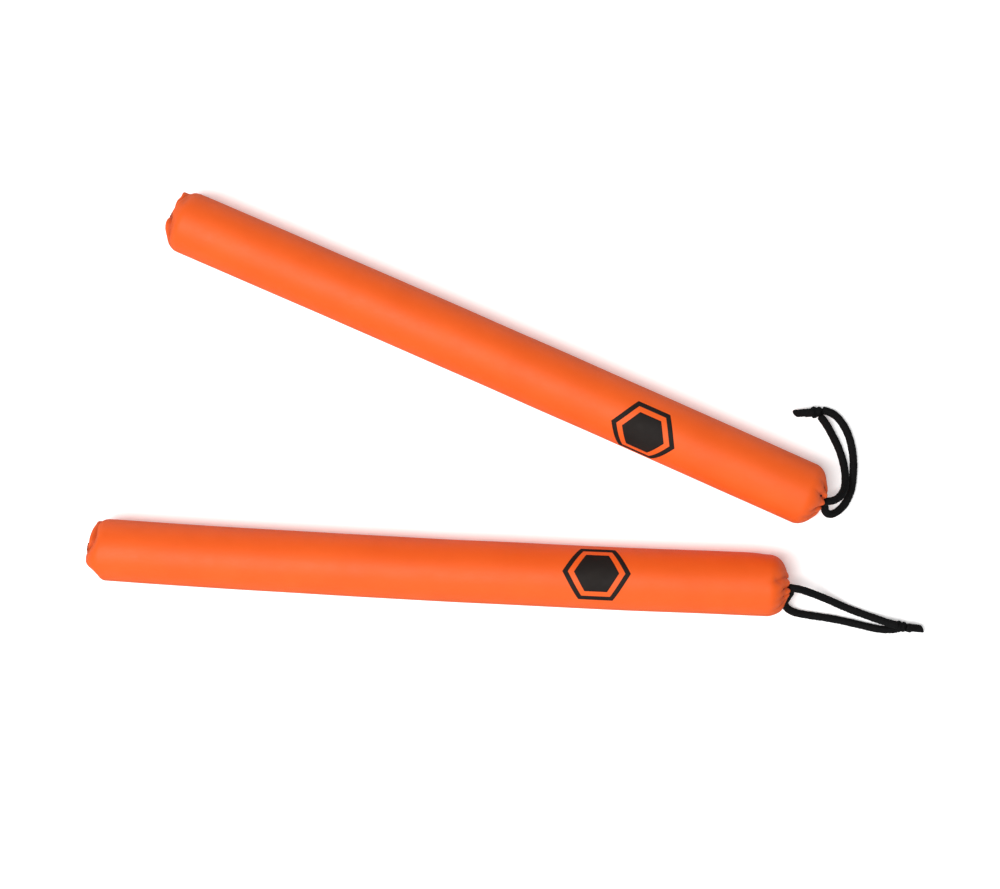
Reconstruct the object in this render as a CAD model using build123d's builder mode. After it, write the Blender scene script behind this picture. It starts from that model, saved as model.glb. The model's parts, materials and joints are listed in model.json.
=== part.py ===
"""Pair of padded focus training sticks, lying on the floor with their wrist loops spread out.

Each stick is a plastic core tube in a foam sleeve, inside a synthetic leather cover. The cover is pleated
shut and tied at the tip, and at the butt a drawstring in its hem draws it to a small mouth. The drawstring's
two ends leave by the mouth as the legs of a wrist loop, and are knotted together. Millimetres, +Z up, the
floor at Z = 0, and the origin under the middle of the two sticks, cords apart.
"""

import os
from math import cos, hypot, pi, radians, sin, tan

from build123d import *

# Each stick
stick_length = 600
stick_radius = 26.5
butt_depth = 18  # length of the domed butt
tip_depth = 18  # length of the rounding at the tip
tip_face_radius = 8  # flat middle of the tip
cover_thickness = 1
fit_gap = 0.3  # between the cover and the padding, all round

# How the pair lies, from the middle of the first stick
second_stick_middle = (45, 182)
second_stick_turn = -21.1

# Core and padding
core_radius = 10
core_wall = 2
core_inset_tip = 25  # from the tip's face to the end of the tube
core_inset_butt = 34
plug_flange = 2
plug_edge_round = 0.5
plug_depth = 14
plug_slack = 0.05
pad_joint = 0.2  # between a foam pad and what it meets

# Tip closure: the gathered end is turned inside and bound with thread
gather_radius = 4
gather_length = 10.4
tie_thread = 1.2
tie_pitch = 1.3
tie_turns = 3

# Drawstring hem around the mouth
cord_diameter = 6.5
mouth_radius = 7.5
mouth_depth = 9  # how far the bore of the mouth goes in
hem_ring_radius = 13
hem_setback = 8
hem_channel_radius = 4.2
hem_thickness = 0.9
hem_gap_angle = 100  # where the hem is open and the cord comes out
ring_corners = range(60, 301, 40)  # turns round the axis, from the stick's right
ring_corner_step = ring_corners.step
exit_bend = (-8, -11)  # where each end of the drawstring leaves its ring: outward and to the left
exit_end = (-4.4, -3.2)  # where it meets its leg, inside the mouth
exit_spread = 0.1  # how much further apart the two ends are than the legs
leg_spacing = 6.6  # between the two legs, one above the other in the mouth

# Print on the grip end
print_length = 57
print_middle = 161  # from the butt
print_arc = 130
print_thickness = 0.1

# Wrist loop
corner_share = 0.45
knot_half_length = 5.6
knot_radius = 5.6

cord_radius = cord_diameter / 2
hem_radius = hem_channel_radius + hem_thickness
leg_high = stick_radius + leg_spacing / 2
leg_low = stick_radius - leg_spacing / 2


def reach(middle, turn, toward):
    """How far a stick reaches in a horizontal direction, from the middle of the first stick."""
    along = cos(radians(toward - turn))
    across = abs(sin(radians(toward - turn)))
    butt_half = stick_length / 2 - butt_depth
    tip_half = stick_length / 2 - tip_depth
    butt = butt_half * along + hypot(butt_depth * along, stick_radius * across)
    tip_rounding = hypot(tip_depth * along, (stick_radius - tip_face_radius) * across)
    tip = tip_face_radius * across + tip_rounding - tip_half * along
    place = middle[0] * cos(radians(toward)) + middle[1] * sin(radians(toward))
    return place + max(butt, tip)


def pair_reach(toward):
    """How far the pair reaches in a horizontal direction, from the middle of the first stick."""
    first = reach((0, 0), 0, toward)
    second = reach(second_stick_middle, second_stick_turn, toward)
    return max(first, second)


pair_middle = (
    (pair_reach(0) - pair_reach(180)) / 2,
    (pair_reach(90) - pair_reach(270)) / 2,
)


class Stick:
    """Where a stick lies. x runs outward along it from its mouth, y to its left and z up."""

    def __init__(self, name, middle, turn, print_turn):
        self.name = name
        self.outward = Vector(1, 0, 0).rotate(Axis.Z, turn)
        self.left = Vector(0, 1, 0).rotate(Axis.Z, turn)
        half = self.outward * (stick_length / 2)
        place = Vector(middle[0] - pair_middle[0], middle[1] - pair_middle[1], 0)
        self.foot = place + half
        self.mouth = self.foot + Vector(0, 0, stick_radius)
        self.axis = Axis(self.mouth, self.outward)
        self.print_turn = print_turn

    def section(self, lean=0):
        """A plane through the axis: x outward, y away from the axis, leaning to the left of straight up."""
        away = Vector(0, 0, 1) * cos(radians(lean)) + self.left * sin(radians(lean))
        return Plane(origin=self.mouth, x_dir=self.outward, z_dir=self.outward.cross(away))

    def across(self, x):
        """A plane square to the axis, facing outward."""
        return Plane(origin=self.mouth + self.outward * x, x_dir=self.left, z_dir=self.outward)

    def ground(self):
        """The floor, with its origin under the mouth."""
        return Plane(origin=self.foot, x_dir=self.outward, z_dir=(0, 0, 1))


sticks = [
    Stick("stick_a", (0, 0), 0, print_turn=18),
    Stick("stick_b", second_stick_middle, second_stick_turn, print_turn=-18),
]


def save(stick, piece, part):
    part.label = f"{stick.name}_{piece}"
    export_step(part, f"parts/{part.label}.step")


def outline(inset):
    """Half section of the stick, a distance inside its outer surface: flat tip, wall and domed butt."""
    radius = stick_radius - inset
    tip_middle = tip_depth - stick_length
    tip_rounding = (tip_depth - inset, radius - tip_face_radius)
    with BuildSketch() as half:
        with BuildLine():
            Line((-inset, 0), (inset - stick_length, 0))
            Line((inset - stick_length, 0), (inset - stick_length, tip_face_radius))
            EllipticalCenterArc((tip_middle, tip_face_radius), *tip_rounding, 90, arc_size=90)
            Line((tip_middle, radius), (-butt_depth, radius))
            EllipticalCenterArc((-butt_depth, 0), butt_depth - inset, radius, 0, arc_size=90)
        make_face()
    return half.sketch


def make_cover(stick):
    hem_lean = 90 - hem_gap_angle / 2  # the hem starts past the gap, which faces the stick's right
    with BuildPart() as cover:
        with BuildSketch(stick.section()):
            add(outline(0))
        revolve(axis=stick.axis)
        with BuildSketch(stick.section()):
            add(outline(cover_thickness))
        revolve(axis=stick.axis, mode=Mode.SUBTRACT)
        with BuildSketch(stick.across(cover_thickness - stick_length)):
            Circle(gather_radius)
        extrude(amount=gather_length)
        with BuildSketch(stick.section(-hem_lean)):
            with Locations((-hem_setback, hem_ring_radius)):
                Circle(hem_radius)
        revolve(axis=stick.axis, revolution_arc=hem_gap_angle - 360)
        with BuildSketch(stick.section(-hem_lean)):
            with Locations((-hem_setback, hem_ring_radius)):
                Circle(hem_channel_radius)
        revolve(axis=stick.axis, revolution_arc=hem_gap_angle - 360, mode=Mode.SUBTRACT)
        with BuildSketch(stick.across(0)):
            Circle(mouth_radius)
        extrude(amount=-mouth_depth, mode=Mode.SUBTRACT)
    save(stick, "cover", cover.part)


def make_tip_gather_tie(stick):
    """Separate turns of thread round the gathered end, inside the tip."""
    middle = cover_thickness - stick_length + gather_length / 2
    with BuildPart() as tie:
        for turn in range(tie_turns):
            x = middle + (turn - (tie_turns - 1) / 2) * tie_pitch
            with BuildSketch(stick.section()):
                with Locations((x, gather_radius + tie_pitch / 2)):
                    Circle(tie_thread / 2)
            revolve(axis=stick.axis)
    save(stick, "tip_gather_tie", tie.part)


def make_foam(stick):
    """The sleeve on the core, and a pad over each of its ends."""
    tube_tip = core_inset_tip - stick_length
    foam_inset = cover_thickness + fit_gap
    with BuildPart() as sleeve:
        with BuildSketch(stick.across(tube_tip)):
            Circle(stick_radius - foam_inset)
            Circle(core_radius, mode=Mode.SUBTRACT)
        extrude(amount=stick_length - core_inset_tip - core_inset_butt)
    save(stick, "foam_sleeve", sleeve.part)

    with BuildPart() as tip_pad:
        with BuildSketch(stick.section()):
            add(outline(foam_inset))
        revolve(axis=stick.axis)
        split(bisect_by=stick.across(tube_tip - plug_flange - pad_joint), keep=Keep.BOTTOM)
        with BuildSketch(stick.across(-stick_length)):
            Circle(gather_radius + 2 * tie_thread)
        extrude(amount=gather_length + 2 * cover_thickness, mode=Mode.SUBTRACT)
    save(stick, "foam_tip_pad", tip_pad.part)

    with BuildPart() as butt_pad:
        with BuildSketch(stick.section()):
            add(outline(foam_inset))
        revolve(axis=stick.axis)
        split(bisect_by=stick.across(plug_flange + pad_joint - core_inset_butt), keep=Keep.TOP)
        split(bisect_by=stick.across(-hem_setback - hem_radius - fit_gap), keep=Keep.BOTTOM)
    save(stick, "foam_butt_pad", butt_pad.part)


def make_core(stick):
    """The tube, and a flanged plug in each of its ends."""
    tube_ends = {"tip": core_inset_tip - stick_length, "butt": -core_inset_butt}
    with BuildPart() as tube:
        with BuildSketch(stick.across(tube_ends["tip"])):
            Circle(core_radius)
            Circle(core_radius - core_wall, mode=Mode.SUBTRACT)
        extrude(amount=tube_ends["butt"] - tube_ends["tip"])
    save(stick, "core_tube", tube.part)

    for end, outward in (("tip", -1), ("butt", 1)):
        with BuildPart() as plug:
            with BuildSketch(stick.across(tube_ends[end])):
                Circle(core_radius)
            extrude(amount=outward * plug_flange)
            with BuildSketch(stick.across(tube_ends[end])):
                Circle(core_radius - core_wall - plug_slack)
            extrude(amount=-outward * plug_depth)
            fillet(plug.edges().filter_by(GeomType.CIRCLE).group_by(SortBy.RADIUS)[-1], plug_edge_round)
        save(stick, f"core_plug_{end}", plug.part)


def corner_radii(points):
    """One radius for each corner: 0.45 of its shorter run, divided by the tangent of half its turn."""
    runs = [end - start for start, end in zip(points, points[1:])]
    radii = []
    for before, after in zip(runs, runs[1:]):
        half_turn = radians(before.get_angle(after)) / 2
        radii.append(corner_share * min(before.length, after.length) / tan(half_turn))
    return radii


def make_cord(stick, piece, route):
    """A cord of round section along straight runs and tangent arcs, with its route in the ground's frame."""
    points = [stick.ground().from_local_coords(Vector(*point)) for point in route]
    radii = corner_radii(points)
    with BuildPart() as cord:
        with BuildLine() as path:
            FilletPolyline(*points, radius=radii)
        route_wire = path.wire()
        with BuildSketch(Plane(origin=route_wire @ 0, z_dir=route_wire % 0)):
            Circle(cord_radius)
        sweep(path=route_wire)
    length = route_wire.length
    share = cord.part.volume / (pi * cord_radius**2 * length)
    turns = ", ".join(f"{radius:.0f}" for radius in radii)
    print(f"{stick.name}_{piece}: length {length:.1f}, volume share {share:.4f}, corner radii {turns}")
    save(stick, piece, cord.part)


def make_drawstring(stick):
    """Round the mouth inside the hem, then out through the hem's gap with both ends side by side."""
    corner_reach = hem_ring_radius / cos(radians(ring_corner_step / 2))
    ring = [
        (-hem_setback, -corner_reach * cos(radians(turn)), stick_radius + corner_reach * sin(radians(turn)))
        for turn in ring_corners
    ]
    high, low = leg_high + exit_spread, leg_low - exit_spread
    route = [
        (*exit_end, high),
        (*exit_bend, high),
        *ring,
        (*exit_bend, low),
        (*exit_end, low),
    ]
    make_cord(stick, "drawstring", route)


def make_print(stick):
    """A thin printed panel wrapped round the wall near the grip end."""
    with BuildPart() as panel:
        with BuildSketch(stick.section(stick.print_turn + print_arc / 2)):
            with Locations((-print_middle, stick_radius)):
                Rectangle(print_length, print_thickness, align=(Align.CENTER, Align.MIN))
        revolve(axis=stick.axis, revolution_arc=print_arc)
    save(stick, "print", panel.part)


def make_knot(stick, middle, turn):
    """The knot's outer shape, a short round body along the cord."""
    centre = stick.ground().from_local_coords(Vector(*middle))
    along = stick.outward.rotate(Axis.Z, turn)
    side = Plane(origin=centre, x_dir=along, z_dir=along.cross(Vector(0, 0, 1)))
    with BuildPart() as knot:
        with BuildSketch(side):
            with BuildLine():
                EllipticalCenterArc((0, 0), knot_half_length, knot_radius, 0, arc_size=180)
                Line((-knot_half_length, 0), (knot_half_length, 0))
            make_face()
        revolve(axis=Axis(centre, along))
    save(stick, "cord_knot", knot.part)


# Routes of the wrist loops, each from the mouth to the knot, and of the tails from the knot to their ends
loop_routes = {
    "stick_a": {
        "cord_leg_1": [
            (0, 0, leg_high),
            (6, -0.8, 29.2),
            (16, -4.3, 23.5),
            (33, -11.5, 10.5),
            (50, -18.3, 3.8),
            (67, -23.8, 3.6),
            (81, -27.6, 6),
            (89, -29.4, 8.8),
            (94.5, -30.3, 9.4),
        ],
        "cord_leg_2": [
            (0, 0, leg_low),
            (3.2, -3.6, 21.6),
            (2, -10, 17),
            (1, -16.5, 12),
            (3.4, -22.3, 7.2),
            (10, -25.4, 4.2),
            (21, -26.8, 3.3),
            (40, -28.6, 3.3),
            (59, -31.8, 3.3),
            (75, -34.9, 3.3),
            (86, -35.9, 3.4),
            (94.5, -34.4, 3.6),
        ],
        "cord_tail_1": [
            (102.5, -31.4, 9.6),
            (107.5, -32, 10.4),
            (112.5, -32.7, 8),
            (117, -33, 4.4),
        ],
        "cord_tail_2": [(102.3, -32.8, 3.3), (105.2, -33.5, 3.4), (107.6, -34.6, 3.3)],
    },
    "stick_b": {
        "cord_leg_1": [
            (0, 0, leg_high),
            (6, 2.5, 29),
            (11.5, 8.5, 23.5),
            (13.3, 16.5, 15),
            (10, 26.5, 7),
            (3.5, 36.5, 3.5),
            (-5.5, 46, 3.3),
            (-15.5, 54, 3.8),
            (-23, 59.5, 7),
            (-29.2, 62.7, 9.4),
        ],
        "cord_leg_2": [
            (0, 0, leg_low),
            (3.2, -3.8, 21.8),
            (6.2, -8.8, 17),
            (12.5, -9.5, 10.5),
            (18.2, -3, 5.5),
            (20.8, 6, 3.5),
            (20.3, 17.5, 3.3),
            (15.5, 31.5, 3.3),
            (9.3, 44.7, 3.3),
            (-1.5, 59, 3.3),
            (-14, 67.6, 3.3),
            (-23, 69.6, 3.4),
            (-29.5, 68.3, 3.7),
        ],
        "cord_tail_1": [
            (-36.6, 63.9, 9.2),
            (-41.1, 61.6, 10.1),
            (-45.5, 59, 8),
            (-49.3, 56.6, 4.4),
        ],
        "cord_tail_2": [(-36.8, 62.8, 3.3), (-39.4, 61.5, 3.4), (-41.5, 59.8, 3.3)],
    },
}
knot_places = {
    "stick_a": {"middle": (98.6, -32, 5.7), "turn": -4},
    "stick_b": {"middle": (-33, 65.3, 5.7), "turn": 28},
}

os.makedirs("parts", exist_ok=True)
for stick in sticks:
    make_cover(stick)
    make_tip_gather_tie(stick)
    make_foam(stick)
    make_core(stick)
    make_drawstring(stick)
    make_print(stick)
    make_knot(stick, **knot_places[stick.name])
    for piece, route in loop_routes[stick.name].items():
        make_cord(stick, piece, route)
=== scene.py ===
"""Looks for a pair of padded focus training sticks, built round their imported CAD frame.

Each stick has a pleated leather cover over foam, a printed mark, and a braided wrist loop with its knot
and tails. Lengths are millimetres up to Stick.place, which turns points into the row frame's metres.
"""

import json
import math
import random

import bmesh
import bpy
import numpy as np
from mathutils import Matrix, Vector


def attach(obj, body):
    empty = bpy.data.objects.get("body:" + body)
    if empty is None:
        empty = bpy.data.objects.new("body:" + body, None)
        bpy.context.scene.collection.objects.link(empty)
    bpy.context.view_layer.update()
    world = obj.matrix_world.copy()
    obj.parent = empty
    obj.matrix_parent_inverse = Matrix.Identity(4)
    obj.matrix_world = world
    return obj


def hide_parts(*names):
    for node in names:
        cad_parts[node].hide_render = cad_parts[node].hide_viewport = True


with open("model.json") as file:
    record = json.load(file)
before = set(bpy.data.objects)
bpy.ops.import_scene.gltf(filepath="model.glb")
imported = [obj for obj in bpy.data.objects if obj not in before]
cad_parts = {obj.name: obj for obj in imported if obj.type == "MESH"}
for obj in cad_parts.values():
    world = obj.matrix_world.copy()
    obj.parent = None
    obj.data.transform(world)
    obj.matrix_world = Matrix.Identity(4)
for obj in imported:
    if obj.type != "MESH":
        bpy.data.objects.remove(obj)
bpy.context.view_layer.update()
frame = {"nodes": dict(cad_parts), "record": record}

# Sizes of a stick, as in the CAD model
STICK_LENGTH = 600
STICK_RADIUS = 26.5
BUTT_DEPTH = 18
TIP_DEPTH = 18
TIP_FACE_RADIUS = 8
COVER_THICKNESS = 1
FIT_GAP = 0.3
CORE_RADIUS = 10
SLEEVE_ENDS = (-575, -34)
TIP_PAD_BACK = -577.2
BUTT_PAD_BACK = -31.8
BUTT_PAD_FACE = -13.4
GATHER_HOLE_RADIUS = 6.4
GATHER_HOLE_DEPTH = 13

# Cover
LIP_RADIUS = 1.7  # rolled edge round the mouth
LIP_START = 9.3  # radius at which the dome turns into the lip
MOUTH_WALL = 9.2  # how far the cover goes on inside the mouth
HEM_GAP = (-90, 50)  # middle and half width of the opening in the hem, in degrees
FUNNEL_DEPTH = 3.2  # pucker at the middle of the tip
FUNNEL_RADIUS = 3
TAIL_RADIUS = 4  # gathered end inside the tip
TAIL_LENGTH = 10
SEAM_WIDTH = 0.8
SEAM_DEPTH = 0.75
COLUMNS = 216  # mesh columns round the cover, and more beside its seam
SEAM_COLUMNS = 40
BARREL_STEP = 3
HEM_OPENING = 0.93  # share of the mouth's wall that the opening in the hem takes away
WAVE_COUNT = 7  # long soft waves of the cover
WAVE_HEIGHT = 0.05
FOAM_COLUMNS = 96

# Cord
CORD_RADIUS = 3.25
BRAID_STRANDS = 8  # strands each way round the cord
BRAID_PITCH = 3.1
BRAID_RELIEF = 0.42
CORD_COLUMNS = 48
CORD_STEP = 0.45
SEALED_LENGTH = 1.8  # heat-sealed length at a cut end

MM = 0.001


class Stick:
    """Where a stick lies, and what its two ends, its bow and its print are like.

    Local x runs outward along the stick from its mouth, y to its left and z up from the floor. A turn is
    an angle round the stick in degrees, from the top towards the left.
    """

    def __init__(self, letter, bow, seam_turn, print_turn, seed):
        self.letter = letter
        self.name = f"stick_{letter}"
        self.loop = f"loop_{letter}"
        mount = next(m for m in frame["record"]["mounts"] if m["name"] == f"{self.name}_wrist_loop")
        self.mouth = Vector(mount["pos_m"])
        self.outward = Vector(mount["axis"]).normalized()
        self.left = Vector((0, 0, 1)).cross(self.outward)
        self.foot = Vector((self.mouth.x, self.mouth.y, 0))
        self.bow = bow
        self.seam_turn = seam_turn
        self.print_turn = print_turn
        self.seed = seed

    def place(self, points):
        """Local points in millimetres as row-frame points in metres."""
        points = np.asarray(points, float) * MM
        axes = np.array([self.outward, self.left, (0, 0, 1)])
        return points @ axes + np.array(self.foot)

    def side_shift(self, x):
        """How far the soft stick bows to its left at x."""
        share = (x + STICK_LENGTH / 2) / (STICK_LENGTH / 2)
        return self.bow * (share**2 - 0.4)


# Each crease is (points, depth, width), and a point is (distance from the gather, turn).
TIP_CREASES = {
    "a": [
        ([(6, 0), (13, 8), (18, 19), (22, 44), (26, 66), (31, 90), (42, 122)], 5.0, 2.1),
        ([(10, -88), (16, -86), (22, -88), (27, -94), (38, -116)], 5.2, 3.4),
        ([(5, -52), (12, -40), (18, -44), (25, -60)], 2.0, 1.6),
        ([(4, 46), (10, 66), (17, 92), (26, 128)], 2.4, 1.6),
    ],
    "b": [
        ([(6, 14), (12, 2), (17, -8), (20, -20), (24, -42), (34, -80)], 5.2, 2.0),
        ([(7, 16), (12, 34), (17, 50), (21, 64), (25, 80), (33, 104)], 4.0, 1.7),
        ([(5, -40), (12, -56), (20, -84), (28, -112)], 2.6, 2.4),
        ([(4, 80), (12, 98), (20, 124), (30, 146)], 2.2, 1.8),
    ],
}
BUTT_CREASES = {
    "a": [
        ([(-9, 48), (1, 46), (6, 37), (12, 25), (22, 15), (33, 10)], 2.3, 2.0),
        ([(-9, 84), (2, 80), (9, 75), (22, 69)], 2.4, 1.7),
        ([(-9, -2), (1, -2), (8, -4), (22, -9)], 2.8, 1.5),
        ([(-9, -36), (1, -34), (8, -28), (25, -22)], 2.4, 1.7),
        ([(-9, -62), (1, -60), (9, -53), (28, -44)], 2.4, 1.9),
    ],
    "b": [
        ([(-9, 20), (0, 18), (8, 18), (27, 20)], 3.0, 1.8),
        ([(-9, -22), (1, -22), (8, -25), (25, -29)], 3.0, 1.6),
        ([(-9, -55), (1, -54), (9, -49), (29, -45)], 2.6, 1.8),
        ([(-9, 56), (1, 54), (9, 49), (27, 44)], 2.4, 1.8),
        ([(-9, 88), (1, 86), (9, 82), (22, 80)], 2.2, 1.7),
    ],
}
# The creases of each end that face the floor: the turns they lie between, the distance they start at, and the
# ranges of the distance they end at and of how far they drift round
HIDDEN_CREASES = {
    "tip": ((120, 262), 4, (26, 36), (-26, 12)),
    "butt": ((104, 284), -9, (14, 22), (-9, 9)),
}
HIDDEN_PITCH = 29  # about how many degrees apart they are
HIDDEN_DEPTHS = (1.4, 2.5)
HIDDEN_WIDTHS = (1.2, 2.1)
# Each swelling is (distance from the gather, turn, height, reach along, reach round). A dent's height is
# below 0.
TIP_SWELLS = {
    "a": [(27, 40, -3.2, 7, 13), (27.5, 90, 1.5, 2.2, 7), (12, -78, 1.6, 3, 5), (24, -90, -1, 4, 7)],
    "b": [(23, 89, 3.0, 2.6, 7), (28, 56, -2.4, 6, 12), (26, -20, -2.6, 6, 12)],
}
# How far the tip's face is pushed in, at places from its right to its left: (y, depth).
FACE_PUSHES = {
    "a": [
        (-27, 8),
        (-20, 7.4),
        (-16, 5),
        (-13.5, 2.6),
        (-11, 1.2),
        (-8, 1.6),
        (0, 3.2),
        (6, 4),
        (14, 3.4),
        (22, 1.5),
    ],
    "b": [
        (-27, 2),
        (-21, 2.4),
        (-16.8, 2),
        (-11.5, 1.1),
        (-6, 1),
        (-3, 1.4),
        (0, 2.2),
        (8, 2.2),
        (14, 0.4),
        (22, 0),
    ],
}
BUTT_SWELLS = {
    "a": [
        (1.5, 25, 1.2, 4, 4),
        (1.5, 65, 0.8, 4, 4),
        (1, -20, 2.2, 4, 4),
        (1.5, -48, 1.8, 4, 4),
        (2, -80, 1.0, 5, 5),
        (26, 88, -1.3, 9, 14),
        (12, -84, 1.5, 6, 7),
        (17, 20, -1.5, 5, 3.5),
    ],
    "b": [
        (1.5, 0, 1.9, 4, 4),
        (1.5, 38, 1.7, 4, 4),
        (1.5, -38, 1.5, 4, 4),
        (2, 70, 1.0, 5, 5),
        (2, -75, 1.0, 5, 5),
    ],
}

STICKS = [
    Stick("a", bow=2.6, seam_turn=128, print_turn=18, seed=11),
    Stick("b", bow=-1.2, seam_turn=-134, print_turn=-18, seed=23),
]


# ---------------------------------------------------------------- shape of the soft stick


def arc(middle, half_sizes, start, end, steps):
    """Points of an elliptical arc in (x, radius), from one angle to another in degrees."""
    angles = np.radians(np.linspace(start, end, steps))
    spokes = np.stack([np.cos(angles), np.sin(angles)], 1)
    return np.array(middle) + np.array(half_sizes) * spokes


def outline():
    """The cover's outer half section as (x, radius) points, from the tip's middle to inside the mouth.

    Also the number of points before its lip.
    """
    funnel_radii = np.linspace(0.4, FUNNEL_RADIUS, 8)
    funnel = [(FUNNEL_DEPTH * (1 - r / FUNNEL_RADIUS) ** 1.5 - STICK_LENGTH, r) for r in funnel_radii]
    face = [(-STICK_LENGTH, r) for r in np.linspace(FUNNEL_RADIUS, TIP_FACE_RADIUS, 6)[1:-1]]
    tip_middle = (TIP_DEPTH - STICK_LENGTH, TIP_FACE_RADIUS)
    tip = arc(tip_middle, (TIP_DEPTH, STICK_RADIUS - TIP_FACE_RADIUS), 180, 90, 80)
    lip_share = math.asin(LIP_START / STICK_RADIUS)
    butt = arc((-BUTT_DEPTH, 0), (BUTT_DEPTH, STICK_RADIUS), 90, math.degrees(lip_share), 80)
    normal = Vector((math.cos(lip_share) / BUTT_DEPTH, math.sin(lip_share) / STICK_RADIUS)).normalized()
    lip_middle = Vector(butt[-1]) - LIP_RADIUS * normal
    lip_from = math.degrees(math.atan2(normal.y, normal.x))
    lip = arc(lip_middle, (LIP_RADIUS, LIP_RADIUS), lip_from, -90, 16)[1:]
    wall = [(lip[-1][0] - depth, lip[-1][1]) for depth in np.linspace(0, MOUTH_WALL, 12)[1:]]
    before_lip = np.concatenate([funnel, face, tip, butt])
    return np.concatenate([before_lip, lip, wall]), len(before_lip)


OUTLINE, LIP_INDEX = outline()
DISTANCES = np.concatenate([[0], np.cumsum(np.hypot(*np.diff(OUTLINE, axis=0).T))])
MOUTH_DISTANCE = DISTANCES[LIP_INDEX]
SLOPES = np.gradient(OUTLINE, DISTANCES, axis=0)
NORMALS = np.stack([-SLOPES[:, 1], SLOPES[:, 0]], 1) / np.hypot(*SLOPES.T)[:, None]
WALL_START = DISTANCES[-1] - MOUTH_WALL
RISING = slice(20, -30)  # the outline's points between its two ends, where x only grows


def section_at(distance):
    """(x, radius) and the outward normal of the outline, at distances along it from the middle of the tip."""
    point = np.stack([np.interp(distance, DISTANCES, OUTLINE[:, k]) for k in (0, 1)], -1)
    normal = np.stack([np.interp(distance, DISTANCES, NORMALS[:, k]) for k in (0, 1)], -1)
    return point, normal / np.linalg.norm(normal, axis=-1, keepdims=True)


def distance_at(x):
    """Distance along the outline of a place between its two ends."""
    return np.interp(x, OUTLINE[RISING, 0], DISTANCES[RISING])


def hidden_creases(end, seed):
    """Creases on the side of a gathered end that faces the floor, each a little different."""
    draw = random.Random(seed)
    (low, high), near, far_range, drift_range = HIDDEN_CREASES[end]
    count = round((high - low) / HIDDEN_PITCH)
    creases = []
    for number in range(count):
        turn = low + (number + 0.5) * (high - low) / count + draw.uniform(-5, 5)
        drift = draw.uniform(*drift_range)
        far = draw.uniform(*far_range)
        points = [(near, turn), ((near + far) / 2, turn + drift * 0.35), (far, turn + drift)]
        creases.append((points, draw.uniform(*HIDDEN_DEPTHS), draw.uniform(*HIDDEN_WIDTHS)))
    return creases


def crease_relief(creases, distance, turn, radius):
    """Valleys along creases: sharp at the bottom, with soft shoulders, fading towards both ends."""
    relief = np.zeros(np.broadcast(distance, turn).shape)
    room = 2 * math.pi * radius / (len(creases) + 1)
    for points, depth, width in creases:
        along = np.array([p[0] for p in points], float)
        turns = np.unwrap(np.radians([p[1] for p in points]))
        fine = np.linspace(along[0], along[-1], 60)
        soft = np.convolve(np.pad(np.interp(fine, along, turns), 4, mode="edge"), np.ones(9) / 9, "valid")
        path = np.interp(distance, fine, soft)
        lean = radius * np.interp(distance, fine, np.gradient(soft, fine))
        aside = (np.radians(turn) - path + math.pi) % (2 * math.pi) - math.pi
        across = np.abs(aside) * radius / np.sqrt(1 + lean**2)
        narrow = np.minimum(width, room * 0.2)
        valley = 0.55 * np.exp(-across / narrow) + 0.45 * np.exp(-((across / (2.1 * narrow)) ** 2))
        share = (distance - along[0]) / (along[-1] - along[0])
        relief = relief - depth * (1 - smooth_step(share, 0.35, 1)) * valley
    return relief


def swell_relief(swells, distance, turn, radius):
    """Round swellings and dents."""
    relief = np.zeros(np.broadcast(distance, turn).shape)
    for at, at_turn, height, along, around in swells:
        aside = np.radians((turn - at_turn + 180) % 360 - 180) * radius
        relief = relief + height * np.exp(-(((distance - at) / along) ** 2) - (aside / around) ** 2)
    return relief


def smooth_step(value, low, high):
    share = np.clip((value - low) / (high - low), 0, 1)
    return share * share * (3 - 2 * share)


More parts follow.
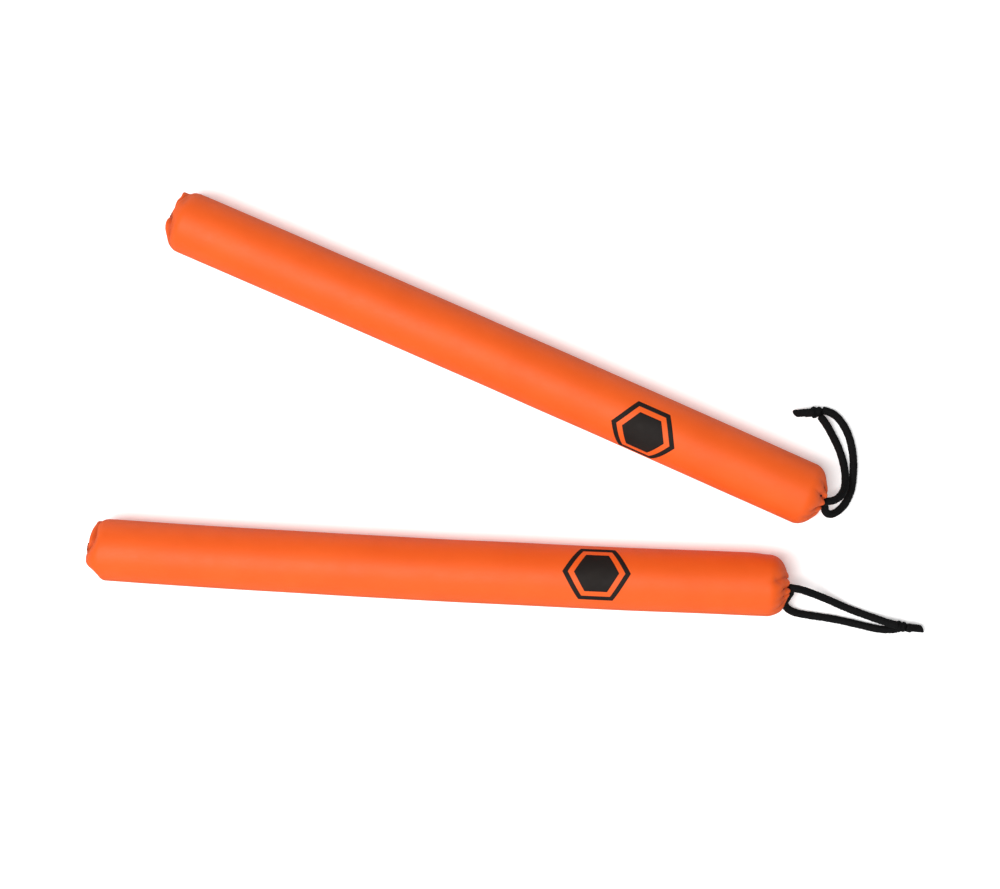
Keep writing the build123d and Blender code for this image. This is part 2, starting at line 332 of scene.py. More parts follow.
class Skin:
    """The cover's outer surface: how far it stands out from the plain outline at a distance and a turn."""

    def __init__(self, stick):
        self.stick = stick
        letter = stick.letter
        draw = random.Random(stick.seed)
        self.tip_creases = TIP_CREASES[letter] + hidden_creases("tip", stick.seed + 1)
        self.butt_creases = BUTT_CREASES[letter] + hidden_creases("butt", stick.seed + 2)
        self.tip_swells = TIP_SWELLS[letter]
        self.butt_swells = BUTT_SWELLS[letter]
        self.face_push = FACE_PUSHES[letter]
        self.waves = [
            (draw.uniform(55, 190), draw.uniform(0, 6.3), draw.choice((1, 2, 2, 3)), draw.uniform(0, 6.3))
            for _ in range(WAVE_COUNT)
        ]

    def shade(self, distance, turn):
        """How deep in a crease or a dent each place lies, from 0 to 1, which sets the leather's painted shade
        there.
        """
        radius = section_at(distance)[0][..., 1]
        deep = -crease_relief(self.tip_creases, distance, turn, radius)
        deep -= crease_relief(self.butt_creases, MOUTH_DISTANCE - distance, turn, radius)
        deep -= 0.55 * np.minimum(swell_relief(self.tip_swells, distance, turn, radius), 0)
        return smooth_step(deep * smooth_step(distance, 0.5, FUNNEL_RADIUS + 2), 0.4, 3.2)

    def relief(self, distance, turn):
        """Waves, creases, swellings and the sewn seam together, fading at the gather and inside the mouth."""
        x, radius = np.moveaxis(section_at(distance)[0], -1, 0)
        total = np.zeros(distance.shape)
        for length, phase, lobes, lobe_phase in self.waves:
            along = np.sin(x * 2 * math.pi / length + phase)
            total += WAVE_HEIGHT * along * np.cos(np.radians(turn) * lobes + lobe_phase)
        total += crease_relief(self.tip_creases, distance, turn, radius)
        total += swell_relief(self.tip_swells, distance, turn, radius)
        from_mouth = MOUTH_DISTANCE - distance
        total += crease_relief(self.butt_creases, from_mouth, turn, radius)
        total += swell_relief(self.butt_swells, from_mouth, turn, radius)
        aside = np.radians((turn - self.stick.seam_turn + 180) % 360 - 180) * radius
        pucker = 0.75 + 0.25 * np.sin(x * 2 * math.pi / 9.5 + 1.3 * np.sin(x / 23))
        seam = SEAM_DEPTH * np.exp(-((aside / SEAM_WIDTH) ** 2)) + 0.3 * np.exp(-((aside / 3.2) ** 2))
        total -= seam * pucker * smooth_step(distance, 14, 30) * smooth_step(from_mouth, 6, 16)
        tip_side = smooth_step(distance, 0.5, FUNNEL_RADIUS + 2)
        wall_side = 1 - 0.8 * smooth_step(distance, WALL_START, WALL_START + 4)
        return total * tip_side * wall_side

    def points(self, distance, turn, inset=0.0):
        """Points on the surface, or a distance inside it, in the row frame."""
        distance, turn = np.broadcast_arrays(np.asarray(distance, float), np.asarray(turn, float))
        section, normal = section_at(distance)
        section = section + normal * (self.relief(distance, turn) - inset)[..., None]
        gap = smooth_step(-np.abs((turn - HEM_GAP[0] + 180) % 360 - 180), -HEM_GAP[1] - 8, -HEM_GAP[1] + 8)
        inside = np.clip(distance - WALL_START, 0, None)
        side = section[..., 1] * np.sin(np.radians(turn))
        push = np.interp(side, *zip(*self.face_push)) * (1 - smooth_step(distance, 18, 42))
        x = section[..., 0] + inside * gap * HEM_OPENING + push
        return self.revolved(x, section[..., 1], turn)

    def revolved(self, x, radius, turn):
        """Points at x and a radius from the bowed axis, in the row frame, none below the floor."""
        angle = np.radians(turn)
        y = radius * np.sin(angle) + self.stick.side_shift(x)
        z = np.maximum(STICK_RADIUS + radius * np.cos(angle), 0.03)
        return self.stick.place(np.stack([x, y, z], -1))


# ---------------------------------------------------------------- mesh helpers


def add_object(name, mesh, material):
    """A new smooth object of a mesh, with outward normals and its material."""
    work = bmesh.new()
    work.from_mesh(mesh)
    bmesh.ops.recalc_face_normals(work, faces=work.faces)
    work.to_mesh(mesh)
    work.free()
    mesh.shade_smooth()
    piece = bpy.data.objects.new(name, mesh)
    bpy.context.scene.collection.objects.link(piece)
    piece.data.materials.append(material)
    return piece


def declare(piece, body, node):
    """The body that a piece rides on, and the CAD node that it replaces."""
    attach(piece, body)
    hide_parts(node)


def ring_mesh(name, rings, loop=False, poles=(None, None)):
    """A mesh through rings of points. It closes on itself, or each end closes on a pole."""
    count, around = rings.shape[:2]
    points = [tuple(p) for p in rings.reshape(-1, 3)]
    faces = []
    for j in range(count if loop else count - 1):
        k = (j + 1) % count
        for i in range(around):
            n = (i + 1) % around
            faces.append((j * around + i, j * around + n, k * around + n, k * around + i))
    for pole, j in zip(poles, (0, count - 1)):
        if pole is not None:
            points.append(tuple(pole))
            faces += [(j * around + i, j * around + (i + 1) % around, len(points) - 1) for i in range(around)]
    mesh = bpy.data.meshes.new(name)
    mesh.from_pydata(points, [], faces)
    return mesh


def even_points(points, step):
    """Points evenly spaced along a line of points."""
    run = np.concatenate([[0], np.cumsum(np.linalg.norm(np.diff(points, axis=0), axis=1))])
    count = max(8, round(run[-1] / step))
    at = np.linspace(0, run[-1], count + 1)
    return np.stack([np.interp(at, run, points[:, k]) for k in range(3)], 1), at


def spline_points(name, route):
    """Points read from the smooth NURBS spline whose control points are the route."""
    curve = bpy.data.curves.new(f"{name}_route", "CURVE")
    curve.dimensions = "3D"
    curve.resolution_u = 24
    spline = curve.splines.new("NURBS")
    spline.points.add(len(route) - 1)
    for point, place in zip(spline.points, route):
        point.co = (*place, 1)
    spline.order_u = 3
    spline.use_endpoint_u = True
    holder = bpy.data.objects.new(curve.name, curve)
    bpy.context.scene.collection.objects.link(holder)
    bpy.context.view_layer.update()
    mesh = bpy.data.meshes.new_from_object(holder.evaluated_get(bpy.context.evaluated_depsgraph_get()))
    points = np.array([v.co for v in mesh.vertices])
    bpy.data.objects.remove(holder)
    bpy.data.meshes.remove(mesh)
    return points


def frames_along(points):
    """Tangent, side and up vectors along a line of points, turning as little as they can."""
    tangents = np.gradient(points, axis=0)
    tangents /= np.linalg.norm(tangents, axis=1, keepdims=True)
    side = np.cross(tangents[0], (0, 0, 1.0))
    if np.linalg.norm(side) < 0.1:
        side = np.cross(tangents[0], (0, 1.0, 0))
    sides = []
    for tangent in tangents:
        side = side - tangent * (side @ tangent)
        side = side / np.linalg.norm(side)
        sides.append(side)
    sides = np.array(sides)
    return tangents, sides, np.cross(sides, tangents)


# ---------------------------------------------------------------- materials


class Shader:
    """A new material with a Principled surface, and short ways to add nodes to it."""

    def __init__(self, name, **values):
        self.material = bpy.data.materials.new(name)
        self.material.use_nodes = True
        self.tree = self.material.node_tree
        self.surface = self.tree.nodes["Principled BSDF"]
        for socket, value in values.items():
            self.surface.inputs[socket.replace("_", " ")].default_value = value

    def node(self, kind, **settings):
        made = self.tree.nodes.new(kind)
        for key, value in settings.items():
            if key in made.inputs:
                made.inputs[key].default_value = value
            else:
                setattr(made, key, value)
        return made

    def link(self, source, target):
        self.tree.links.new(source, target)

    def place(self):
        """Object coordinates, which are the row frame's metres."""
        return self.node("ShaderNodeTexCoord").outputs["Object"]

    def noise(self, vector, scale, detail):
        made = self.node("ShaderNodeTexNoise", Scale=scale, Detail=detail)
        self.link(vector, made.inputs["Vector"])
        return made.outputs["Fac"]

    def cells(self, vector, scale, feature="F1"):
        """Distance to the middle of the nearest cell, or to its edge."""
        made = self.node("ShaderNodeTexVoronoi", Scale=scale, feature=feature)
        self.link(vector, made.inputs["Vector"])
        return made.outputs["Distance"]

    def math(self, operation, *operands):
        made = self.node("ShaderNodeMath", operation=operation)
        for socket, operand in zip(made.inputs, operands):
            if isinstance(operand, (int, float)):
                socket.default_value = operand
            else:
                self.link(operand, socket)
        return made.outputs[0]

    def ramp(self, factor, low, high, target, start=0.3, end=0.7):
        """Sends a blend of two colours, or of two numbers, to a socket of the surface."""
        made = self.node("ShaderNodeMapRange")
        self.link(factor, made.inputs["Value"])
        made.inputs["From Min"].default_value = start
        made.inputs["From Max"].default_value = end
        if isinstance(low, tuple):
            mix = self.node("ShaderNodeMix", data_type="RGBA")
            self.link(made.outputs["Result"], mix.inputs["Factor"])
            mix.inputs["A"].default_value = (*low, 1)
            mix.inputs["B"].default_value = (*high, 1)
            self.link(mix.outputs["Result"], self.surface.inputs[target])
        else:
            made.inputs["To Min"].default_value = low
            made.inputs["To Max"].default_value = high
            self.link(made.outputs["Result"], self.surface.inputs[target])

    def tint(self, attribute, share, colour):
        """Mixes a colour into the base colour where a mesh attribute is high."""
        target = self.surface.inputs["Base Color"]
        value = self.node("ShaderNodeAttribute", attribute_name=attribute)
        mix = self.node("ShaderNodeMix", data_type="RGBA")
        self.link(self.math("MULTIPLY", value.outputs["Fac"], share), mix.inputs["Factor"])
        self.link(target.links[0].from_socket, mix.inputs["A"])
        mix.inputs["B"].default_value = (*colour, 1)
        self.link(mix.outputs["Result"], target)

    def bump(self, height, depth):
        """A bump of a height map with its real depth in metres."""
        made = self.node("ShaderNodeBump", Strength=1.0, Distance=depth)
        self.link(height, made.inputs["Height"])
        self.link(made.outputs["Normal"], self.surface.inputs["Normal"])


def grain_height(shader, place):
    """Fine leather grain: small rounded cells, with softer rises between them."""
    warp = shader.noise(place, 900, 2)
    moved = shader.node("ShaderNodeVectorMath", operation="MULTIPLY_ADD")
    shader.link(warp, moved.inputs[0])
    moved.inputs[1].default_value = (0.0007, 0.0007, 0.0007)
    shader.link(place, moved.inputs[2])
    to_edge = shader.cells(moved.outputs[0], 1150.0, "DISTANCE_TO_EDGE")
    edges = shader.math("MINIMUM", shader.math("MULTIPLY", to_edge, 4.0), 1.0)
    return shader.math("ADD", edges, shader.math("MULTIPLY", shader.noise(place, 320, 3), 0.8))


def leather():
    shader = Shader("orange_leather", Specular_IOR_Level=0.28)
    place = shader.place()
    shader.ramp(shader.noise(place, 26, 4), (0.86, 0.108, 0.009), (0.91, 0.120, 0.012), "Base Color")
    # Painted shade: a darker orange mixed into the base colour in the creases and dents, where shade falls.
    shader.tint("crease", 0.6, (0.40, 0.038, 0.002))
    shader.ramp(shader.noise(place, 70, 3), 0.46, 0.54, "Roughness")
    shader.bump(grain_height(shader, place), 0.00005)
    return shader.material


def print_ink():
    shader = Shader("black_print_ink", Specular_IOR_Level=0.16)
    place = shader.place()
    shader.ramp(shader.noise(place, 60, 3), (0.012, 0.009, 0.008), (0.017, 0.013, 0.011), "Base Color")
    shader.ramp(shader.noise(place, 110, 3), 0.62, 0.74, "Roughness")
    shader.bump(grain_height(shader, place), 0.00003)
    return shader.material


BRAID_BLACKS = ((0.0028, 0.0028, 0.003), (0.007, 0.007, 0.0074))


def braid():
    """Black braided polyester. The UV map counts strands each way, so the fibres run along each strand."""
    shader = Shader("black_braid", Specular_IOR_Level=0.1, Sheen_Weight=0.015, Sheen_Roughness=0.45)
    uv = shader.node("ShaderNodeUVMap", uv_map="strands")
    split = shader.node("ShaderNodeSeparateXYZ")
    shader.link(uv.outputs["UV"], split.inputs[0])
    one, other = split.outputs["X"], split.outputs["Y"]
    counted = shader.math("ADD", shader.math("FLOOR", one), shader.math("FLOOR", other))
    over = shader.math("MODULO", shader.math("ADD", counted, 1000.0), 2.0)
    across = shader.math(
        "ADD",
        shader.math("MULTIPLY", shader.math("FRACT", one), shader.math("SUBTRACT", 1.0, over)),
        shader.math("MULTIPLY", shader.math("FRACT", other), over),
    )
    fibres = shader.math("SINE", shader.math("MULTIPLY", across, 6.283 * 6))
    place = shader.place()
    loose = shader.noise(place, 2600, 3)
    height = shader.math("ADD", shader.math("MULTIPLY", fibres, 0.5), shader.math("MULTIPLY", loose, 1.2))
    shader.ramp(shader.noise(place, 900, 4), *BRAID_BLACKS, "Base Color")
    shader.ramp(loose, 0.6, 0.85, "Roughness")
    shader.bump(height, 0.00006)
    return shader.material


def cord_ring_braid():
    """The same braid for the drawstring in the hem, which has no UV map."""
    shader = Shader("black_braid_in_hem", Specular_IOR_Level=0.3)
    place = shader.place()
    shader.ramp(shader.noise(place, 900, 4), *BRAID_BLACKS, "Base Color")
    shader.ramp(shader.noise(place, 1500, 2), 0.6, 0.85, "Roughness")
    shader.bump(shader.cells(place, 420.0), 0.0003)
    return shader.material


def melted_end():
    """Cord sealed with heat: smooth, hard and slightly shiny."""
    shader = Shader("melted_cord_end", Specular_IOR_Level=0.5)
    place = shader.place()
    shader.ramp(shader.noise(place, 700, 3), (0.003, 0.003, 0.003), (0.007, 0.007, 0.007), "Base Color")
    shader.ramp(shader.noise(place, 500, 3), 0.28, 0.5, "Roughness")
    shader.bump(shader.noise(place, 1400, 3), 0.00015)
    return shader.material


def foam():
    shader = Shader("grey_padding_foam", Specular_IOR_Level=0.2)
    place = shader.place()
    shader.ramp(shader.noise(place, 120, 3), (0.055, 0.055, 0.058), (0.085, 0.085, 0.088), "Base Color")
    cells = shader.cells(place, 700.0)
    shader.ramp(cells, 0.75, 0.95, "Roughness", 0.0, 0.6)
    shader.bump(cells, 0.0004)
    return shader.material


def plastic(name, low, high, roughness):
    shader = Shader(name)
    place = shader.place()
    shader.ramp(shader.noise(place, 45, 3), low, high, "Base Color")
    shader.ramp(shader.noise(place, 160, 3), roughness, roughness + 0.12, "Roughness")
    shader.bump(shader.noise(place, 900, 3), 0.00003)
    return shader.material


def thread():
    shader = Shader("binding_thread", Specular_IOR_Level=0.3, Sheen_Weight=0.2)
    place = shader.place()
    shader.ramp(shader.noise(place, 800, 3), (0.015, 0.015, 0.016), (0.04, 0.04, 0.042), "Base Color")
    twist = shader.node("ShaderNodeTexWave", Scale=900.0, Distortion=2.0, bands_direction="DIAGONAL")
    shader.link(place, twist.inputs["Vector"])
    shader.ramp(shader.noise(place, 1500, 2), 0.55, 0.8, "Roughness")
    shader.bump(twist.outputs["Fac"], 0.0001)
    return shader.material


LEATHER = leather()
INK = print_ink()
BRAID = braid()
HEM_BRAID = cord_ring_braid()
MELTED = melted_end()
FOAM = foam()
THREAD = thread()
TUBE_PLASTIC = plastic("white_core_plastic", (0.62, 0.62, 0.60), (0.70, 0.70, 0.68), 0.28)
PLUG_PLASTIC = plastic("grey_plug_plastic", (0.05, 0.05, 0.055), (0.075, 0.075, 0.08), 0.45)


# ---------------------------------------------------------------- wrist loops

# Local millimetres: x outward from the mouth, y to the left, z above the floor
LOOP_ROUTES = {
    "a": {
        "cord_leg_1": [
            (0, 0, 29.8),
            (5, -0.3, 29.6),
            (9.5, -1.1, 28),
            (17, -3.8, 22.8),
            (33, -10.6, 10.5),
            (50, -18.3, 3.8),
            (67, -23.8, 3.6),
            (81, -27.6, 6),
            (89, -29.4, 8.8),
            (94.5, -30.3, 9.4),
        ],
        "cord_leg_2": [
            (0, 0, 23.2),
            (3, -3.8, 21.4),
            (0.5, -9.8, 15),
            (-2.4, -16, 10.4),
            (1.2, -21.6, 6.6),
            (8, -25.2, 4),
            (20, -26.8, 3.3),
            (40, -28.6, 3.3),
            (59, -31.8, 3.3),
            (75, -34.9, 3.3),
            (86, -35.9, 3.4),
            (94.5, -34.4, 3.6),
        ],
        "cord_tail_1": [(102.5, -31.4, 9.6), (106, -31.8, 9.2), (110, -32.3, 6.6), (115.4, -33, 4.6)],
        "cord_tail_2": [(102.3, -32.8, 3.3), (105.2, -33.5, 3.4), (107.6, -34.6, 3.3)],
    },
    "b": {
        "cord_leg_1": [
            (0, 0, 29.8),
            (6, 2.5, 29),
            (11.5, 8.5, 23.5),
            (13.3, 16.5, 15),
            (10, 26.5, 7),
            (3.5, 36.5, 3.5),
            (-5.5, 46, 3.3),
            (-15.5, 54, 3.8),
            (-23, 59.5, 7),
            (-29.2, 62.7, 9.4),
        ],
        "cord_leg_2": [
            (0, 0, 23.2),
            (3.2, -3.8, 21.8),
            (6.2, -8.8, 17),
            (12.5, -9.5, 10.5),
            (18.2, -3, 5.5),
            (20.8, 6, 3.5),
            (20.3, 17.5, 3.3),
            (15.5, 31.5, 3.3),
            (9.3, 44.7, 3.3),
            (-1.5, 59, 3.3),
            (-14, 67.6, 3.3),
            (-23, 69.6, 3.4),
            (-29.5, 68.3, 3.7),
        ],
        "cord_tail_1": [(-36.6, 63.9, 9.2), (-41.1, 61.6, 10.1), (-45.5, 59, 8), (-49.3, 56.6, 4.4)],
        "cord_tail_2": [(-36.8, 62.8, 3.3), (-39.4, 61.5, 3.4), (-41.5, 59.8, 3.3)],
    },
}
CORD_LENGTHS = {  # metres
    "a": {"cord_leg_1": 0.107, "cord_leg_2": 0.122},
    "b": {"cord_leg_1": 0.096, "cord_leg_2": 0.130},
}
# Each knot's middle, and how far it is turned from its stick
KNOTS = {"a": ((98.6, -32, 5.7), -4), "b": ((-33, 65.3, 5.7), 28)}
KNOT_RADIUS = 2.5  # of the cord pulled tight in the knot
KNOT_STEPS = 48
TAIL_CUTS = {"cord_tail_1": 0.5, "cord_tail_2": -0.25}  # slant of each cut end, along over across


def braid_tube(name, points, radius=CORD_RADIUS, cut=None):
    """A closed tube with the relief of a braid round it, along points in metres.

    cut is the slant of a heat-sealed far end.
    """
    points, run = even_points(np.asarray(points), CORD_STEP * MM)
    tangents, sides, ups = frames_along(points)
    around = np.arange(CORD_COLUMNS + 1) / CORD_COLUMNS
    one = around[None, :] * BRAID_STRANDS + run[:, None] / (BRAID_PITCH * MM)
    other = around[None, :] * BRAID_STRANDS - run[:, None] / (BRAID_PITCH * MM)
    on_top = (np.floor(one) + np.floor(other)) % 2 == 0
    across = np.sin(math.pi * np.where(on_top, one % 1, other % 1))
    along = np.sin(math.pi * np.where(on_top, other % 1, one % 1))
    relief = across**0.5 * (0.62 + 0.38 * along) * BRAID_RELIEF
    wander = 0.06 * np.sin(run / MM * 0.9) + 0.05 * np.sin(run / MM * 0.37 + 1)
    radii = (radius - BRAID_RELIEF * 0.7 + relief + wander[:, None]) * MM
    angle = around * 2 * math.pi
    spokes = np.cos(angle)[None, :, None] * sides[:, None] + np.sin(angle)[None, :, None] * ups[:, None]
    if cut is not None:
        sealed = smooth_step(run[-1] - run, SEALED_LENGTH * MM, SEALED_LENGTH / 2 * MM)[:, None]
        rim = 1 - 0.07 * smooth_step(run[-1] - run, 0.5 * MM, 0)[:, None]
        radii = (radii * (1 - sealed) + radius * 0.97 * MM * sealed) * rim
    rings = points[:, None] + spokes * radii[..., None]
    rings[..., 2] = np.maximum(rings[..., 2], 0.02 * MM)
    if cut is not None:
        slanted = smooth_step(run, run[-1] - 6 * MM, run[-1])[:, None] * np.cos(angle) * radius * MM * cut
        rings = rings + slanted[..., None] * tangents[:, None]
    end = points[-1] + tangents[-1] * (0.1 * MM if cut is not None else 0)
    mesh = ring_mesh(name, rings[:, :-1], poles=(points[0], end))
    strands = mesh.uv_layers.new(name="strands")
    for polygon in mesh.polygons:
        rows = [mesh.loops[i].vertex_index // CORD_COLUMNS for i in polygon.loop_indices]
        places = [mesh.loops[i].vertex_index % CORD_COLUMNS for i in polygon.loop_indices]
        wraps = max(places) - min(places) > 1
        for loop, row, at in zip(polygon.loop_indices, rows, places):
            if row >= len(run):
                row, at = (0, 0) if rows.count(row) and polygon.index % 2 else (len(run) - 1, 0)
            column = at + CORD_COLUMNS if wraps and at == 0 else at
            strands.data[loop].uv = (one[row, column], other[row, column])
    piece = add_object(name, mesh, BRAID)
    if cut is not None:
        piece.data.materials.append(MELTED)
        last = len(run) - 3
        for polygon in piece.data.polygons:
            if min(v // CORD_COLUMNS for v in polygon.vertices) >= last:
                polygon.material_index = 1
    return piece


def make_knot(stick):
    """The knot: a cord wound round the legs, its two turns leaning the way an overhand knot's do."""
    middle, turn = KNOTS[stick.letter]
    angle = math.radians(turn)
    along = np.array([math.cos(angle), math.sin(angle), 0])
    side = np.array([-math.sin(angle), math.cos(angle), 0])
    up = np.array([0, 0, 1])
    route = []
    for share in np.arange(KNOT_STEPS + 1) / KNOT_STEPS:
        turned = 2 * math.pi * (2.15 * share - 0.2)
        tucked = 1.6 * smooth_step(share, 0.88, 1) + 2 * smooth_step(share, 0.12, 0)
        reach = 2.7 - 0.8 * smooth_step(share, 0.35, 0.6) - tucked
        lean = 1.5 * math.cos(turned + 0.6)
        at = -4.2 + 7.6 * share + lean * math.sin(math.pi * share)
        centre = np.array(middle) + along * at
        route.append(centre + side * math.cos(turned) * reach + up * math.sin(turned) * reach)
    points = spline_points(f"{stick.name}_knot", stick.place(route))
    knot = braid_tube(f"{stick.name}_knot", points, radius=KNOT_RADIUS)
    declare(knot, stick.loop, f"{stick.name}_cord_knot")
    return knot


def make_loop(stick):
    """Two legs, the knot and two tails."""
    pieces = {}
    for part, route in LOOP_ROUTES[stick.letter].items():
        name = f"{stick.name}_{part}_braid"
        points = spline_points(name, stick.place(route))
        pieces[part] = (braid_tube(name, points, cut=TAIL_CUTS.get(part)), points)
        declare(pieces[part][0], stick.loop, f"{stick.name}_{part}")
    knot = make_knot(stick)
    for part, length in CORD_LENGTHS[stick.letter].items():
        leg, points = pieces[part]


# ---------------------------------------------------------------- covers, foam and prints


def cover_turns(stick):
    """Turns of the cover's mesh columns: even all round, and close together beside the seam."""
    even = np.arange(COLUMNS) * 360 / COLUMNS - 180
    beside = stick.seam_turn + np.linspace(-6, 6, SEAM_COLUMNS)
    aside = np.abs((even - stick.seam_turn + 180) % 360 - 180)
    return np.sort(np.concatenate([even[aside > 6.4], (beside + 180) % 360 - 180]))


def cover_distances():
    """Distances of the cover's rings: close together at both ends."""
    tip_end = distance_at(TIP_DEPTH - STICK_LENGTH)
    butt_start = distance_at(-BUTT_DEPTH)
    tip = np.concatenate([np.linspace(DISTANCES[0], 4, 9)[:-1], np.linspace(4, tip_end + 12, 62)[:-1]])
    barrel_rings = round((butt_start - tip_end - 20) / BARREL_STEP)
    barrel = np.linspace(tip_end + 12, butt_start - 8, barrel_rings)[:-1]
    butt = np.concatenate(
        [
            np.linspace(butt_start - 8, MOUTH_DISTANCE, 52)[:-1],
            np.linspace(MOUTH_DISTANCE, WALL_START, 9)[:-1],
            np.linspace(WALL_START, DISTANCES[-1], 8),
        ]
    )
    return tip, barrel, butt


def make_cover(stick, skin):
    """The leather cover: a closed skin of its real thickness, with the gathered tail inside the tip."""
    turns = cover_turns(stick)
    tip, barrel, butt = cover_distances()
    distances = np.concatenate([tip, barrel, butt])[:, None]
    outer = skin.points(distances, turns[None])
    back = np.concatenate([butt[::-2], barrel[::-4], tip[:14:-2]])
    inner = skin.points(back[:, None], turns[None], inset=COVER_THICKNESS)
    tail_wave = 1 + 0.1 * np.cos(np.radians(turns) * 11) + 0.05 * np.cos(np.radians(turns) * 5 + 1)
    tail_shape = [(1.6, 1.2), (3.2, 1.02), (6, 0.98), (TAIL_LENGTH, 1.0), (TAIL_LENGTH + 0.5, 0.85)]
    tail = [
        skin.revolved(np.full(len(turns), at - STICK_LENGTH), TAIL_RADIUS * swell * tail_wave, turns)
        for at, swell in tail_shape
    ]
    pole_depths = (FUNNEL_DEPTH + 0.2, TAIL_LENGTH + 0.7)
    aside = stick.side_shift(-STICK_LENGTH)
    poles = stick.place([(depth - STICK_LENGTH, aside, STICK_RADIUS) for depth in pole_depths])
    mesh = ring_mesh(stick.name, np.concatenate([outer, inner, tail]), poles=poles)
    # How deep each place lies in a crease or dent, stored on the mesh for the leather's painted shade.
    shade = skin.shade(distances, turns[None]).ravel()
    crease = mesh.attributes.new("crease", "FLOAT", "POINT")
    crease.data.foreach_set("value", np.pad(shade, (0, len(mesh.vertices) - shade.size)))
    cover = add_object(f"{stick.name}_leather", mesh, LEATHER)
    declare(cover, stick.name, f"{stick.name}_cover")


def make_foam(stick, skin):
    """Foam sleeve and end pads, shaped to the inside of the cover."""
    turns = np.arange(FOAM_COLUMNS) * 360 / FOAM_COLUMNS
    inset = COVER_THICKNESS + FIT_GAP
    foam_radius = STICK_RADIUS - inset

    def plain(x, radius):
        return skin.revolved(np.full(len(turns), float(x)), np.full(len(turns), float(radius)), turns)

    def shaped(start, end, count):
        return skin.points(np.linspace(start, end, count)[:, None], turns[None], inset=inset)

    start, end = SLEEVE_ENDS
    wall = shaped(distance_at(start), distance_at(end), 60)
    bore = [plain(x, CORE_RADIUS) for x in np.linspace(end, start, 30)]
    mesh = ring_mesh("sleeve", np.concatenate([wall, bore]), loop=True)
    sleeve = add_object(f"{stick.name}_sleeve_foam", mesh, FOAM)

    hole_end = GATHER_HOLE_DEPTH - STICK_LENGTH
    hole_steps = ((0, 2.5), (0, GATHER_HOLE_RADIUS), (5, GATHER_HOLE_RADIUS))
    hole = [plain(hole_end - out, radius) for out, radius in hole_steps]
    tip_wall = shaped(10.5, distance_at(TIP_PAD_BACK), 40)
    back = [plain(TIP_PAD_BACK, foam_radius * share) for share in (0.97, 0.6, 0.2)]
    poles = stick.place([(hole_end, 0, STICK_RADIUS), (TIP_PAD_BACK, 0, STICK_RADIUS)])
    rings = np.concatenate([hole, tip_wall, back])
    tip_pad = add_object(f"{stick.name}_tip_foam", ring_mesh("tip_foam", rings, poles=poles), FOAM)

    butt_wall = shaped(distance_at(BUTT_PAD_BACK), distance_at(BUTT_PAD_FACE + 1), 24)
    back = [plain(BUTT_PAD_BACK, foam_radius * share) for share in (0.2, 0.6, 0.97)]
    face = [plain(BUTT_PAD_FACE, radius) for radius in (16, 9, 3)]
    poles = stick.place([(BUTT_PAD_BACK, 0, STICK_RADIUS), (BUTT_PAD_FACE, 0, STICK_RADIUS)])
    rings = np.concatenate([back, butt_wall, face])
    butt_pad = add_object(f"{stick.name}_butt_foam", ring_mesh("butt_foam", rings, poles=poles), FOAM)

    for piece, node in ((sleeve, "foam_sleeve"), (tip_pad, "foam_tip_pad"), (butt_pad, "foam_butt_pad")):
        declare(piece, stick.name, f"{stick.name}_{node}")


PRINT_MIDDLE = -161  # from the mouth
PRINT_SIZE = 28.5  # from the print's middle to a corner
PRINT_RING = (0.84, 1.0)
PRINT_CORE = 0.66
PRINT_FILM = (0.02, 0.1)  # the film's lower and upper side, above the leather
PRINT_STEPS = 120


def hexagon_reach(angle):
    """Share of the corner's distance at which a hexagon with corners at 0, 60, ... degrees ends."""
    return math.cos(math.radians(30)) / math.cos(math.radians(angle % 60 - 30))


def make_print(stick, skin):
    """A plain generic mark: a solid hexagon inside a hexagonal ring, as a film of ink on the cover."""
    angles = np.arange(PRINT_STEPS) * 360 / PRINT_STEPS
    reach = np.array([hexagon_reach(a) for a in angles]) * PRINT_SIZE

    def film(share, lift):
        x = PRINT_MIDDLE + reach * share * np.cos(np.radians(angles))
        sideways = reach * share * np.sin(np.radians(angles)) / STICK_RADIUS
        return skin.points(distance_at(x), stick.print_turn + np.degrees(sideways), inset=-lift)

    low, high = PRINT_FILM

    def both_sides(shares):
        return np.array([film(s, high) for s in shares] + [film(s, low) for s in shares[::-1]])

    band = ring_mesh("ring", both_sides(np.linspace(*PRINT_RING, 6)), loop=True)
    poles = (film(0, high)[0], film(0, low)[0])
    core = ring_mesh("core", both_sides(np.linspace(0.03, PRINT_CORE, 24)), poles=poles)
    joined = bmesh.new()
    joined.from_mesh(band)
    joined.from_mesh(core)
    mesh = bpy.data.meshes.new("print")
    joined.to_mesh(mesh)
    joined.free()
    mark = add_object(f"{stick.name}_print_ink", mesh, INK)
    declare(mark, stick.name, f"{stick.name}_print")


def finish_hard_parts(stick):
    """Materials for the CAD pieces that keep their own shape."""
    finishes = {
        "core_tube": TUBE_PLASTIC,
        "core_plug_tip": PLUG_PLASTIC,
        "core_plug_butt": PLUG_PLASTIC,
        "tip_gather_tie": THREAD,
        "drawstring": HEM_BRAID,
    }
    for part, material in finishes.items():
        for slot in frame["nodes"][f"{stick.name}_{part}"].material_slots:
            slot.material = material


for stick in STICKS:
    skin = Skin(stick)
    make_loop(stick)
    make_cover(stick, skin)
    make_foam(stick, skin)
    make_print(stick, skin)
    finish_hard_parts(stick)


# ---------------------------------------------------------------- floor, light and camera


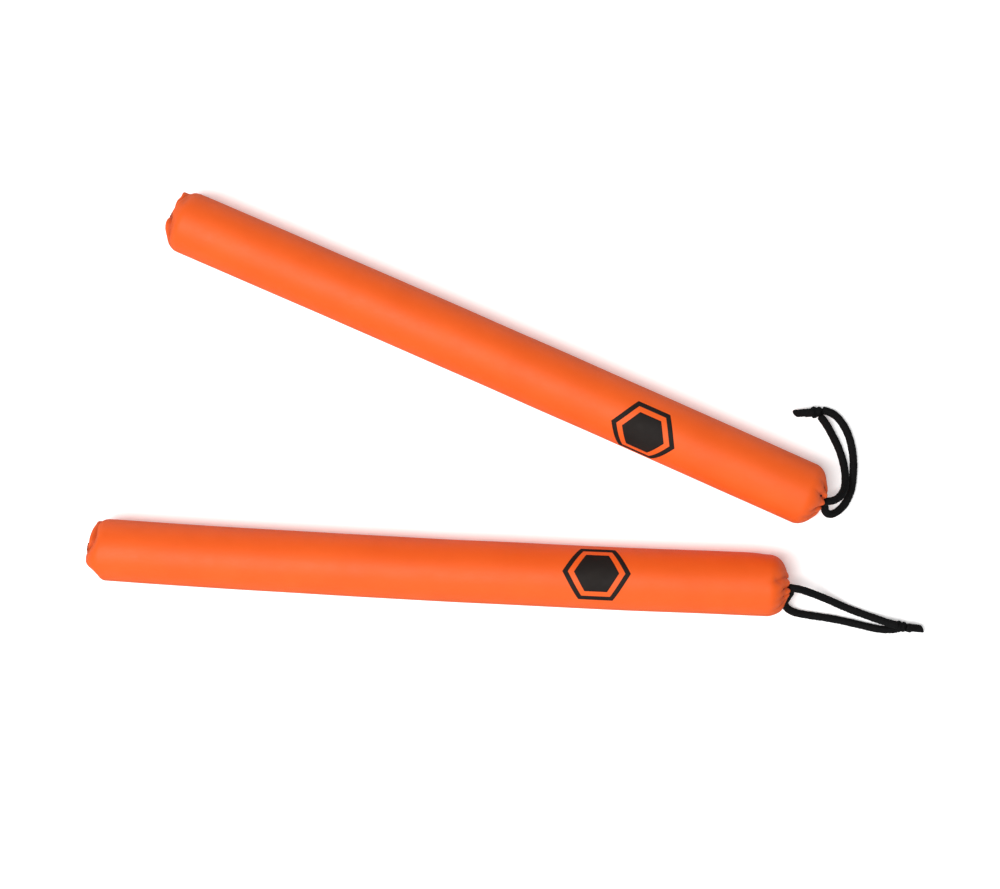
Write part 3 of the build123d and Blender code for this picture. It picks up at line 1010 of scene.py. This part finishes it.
def make_floor():
    """A pale floor that glows a little, which keeps the shadows beside the sticks narrow."""
    mesh = bpy.data.meshes.new("floor")
    half = 6
    drop = 0.0002
    corners = [(-half, -half, -drop), (half, -half, -drop), (half, half, -drop), (-half, half, -drop)]
    mesh.from_pydata(corners, [], [(0, 1, 2, 3)])
    shader = Shader("pale_floor", Specular_IOR_Level=0.0, Emission_Strength=0.3)
    shader.ramp(shader.noise(shader.place(), 3, 2), (0.90, 0.90, 0.90), (0.92, 0.92, 0.92), "Base Color")
    shader.surface.inputs["Roughness"].default_value = 0.9
    floor = bpy.data.objects.new("floor", mesh)
    floor.data.materials.append(shader.material)
    bpy.context.scene.collection.objects.link(floor)
    floor.visible_glossy = False  # the sticks' sides don't mirror the floor


def soft_light(name, place, size, radiance):
    """A rectangular soft light of a given brightness, facing the middle of the pair."""
    light = bpy.data.lights.new(name, "AREA")
    light.shape = "RECTANGLE"
    light.size, light.size_y = size
    light.energy = radiance * math.pi * size[0] * size[1]
    lamp = bpy.data.objects.new(name, light)
    lamp.location = place
    lamp.rotation_euler = (-Vector(place)).to_track_quat("-Z", "Y").to_euler()
    bpy.context.scene.collection.objects.link(lamp)


def make_light():
    world = bpy.data.worlds.new("studio")
    world.use_nodes = True
    background = world.node_tree.nodes["Background"]
    background.inputs["Color"].default_value = (1, 1, 1, 1)
    background.inputs["Strength"].default_value = 0.25
    bpy.context.scene.world = world
    soft_light("overhead", (-1.1, -0.35, 4.0), (1.5, 2.5), 14.3)
    soft_light("near_side", (-0.2, -2.8, 1.8), (1.8, 1.8), 2.2)
    bpy.context.scene.view_settings.view_transform = "Standard"


def make_camera():
    """Looks down at the pair, tilted a few degrees both ways."""
    camera = bpy.data.objects.new("camera", bpy.data.cameras.new("camera"))
    camera.data.lens = 70
    camera.data.sensor_width = 36
    place = Vector((0.15255, 0.10931, 1.65486))
    forward = Vector((-math.tan(math.radians(4)), -math.tan(math.radians(5)), -1)).normalized()
    roll = math.radians(-2.4)
    up = Vector((math.sin(roll), math.cos(roll), 0))
    up = (up - forward * up.dot(forward)).normalized()
    right = forward.cross(up)
    camera.matrix_world = Matrix.Translation(place) @ Matrix((right, up, -forward)).transposed().to_4x4()
    bpy.context.scene.collection.objects.link(camera)
    bpy.context.scene.camera = camera


make_floor()
make_light()
make_camera()
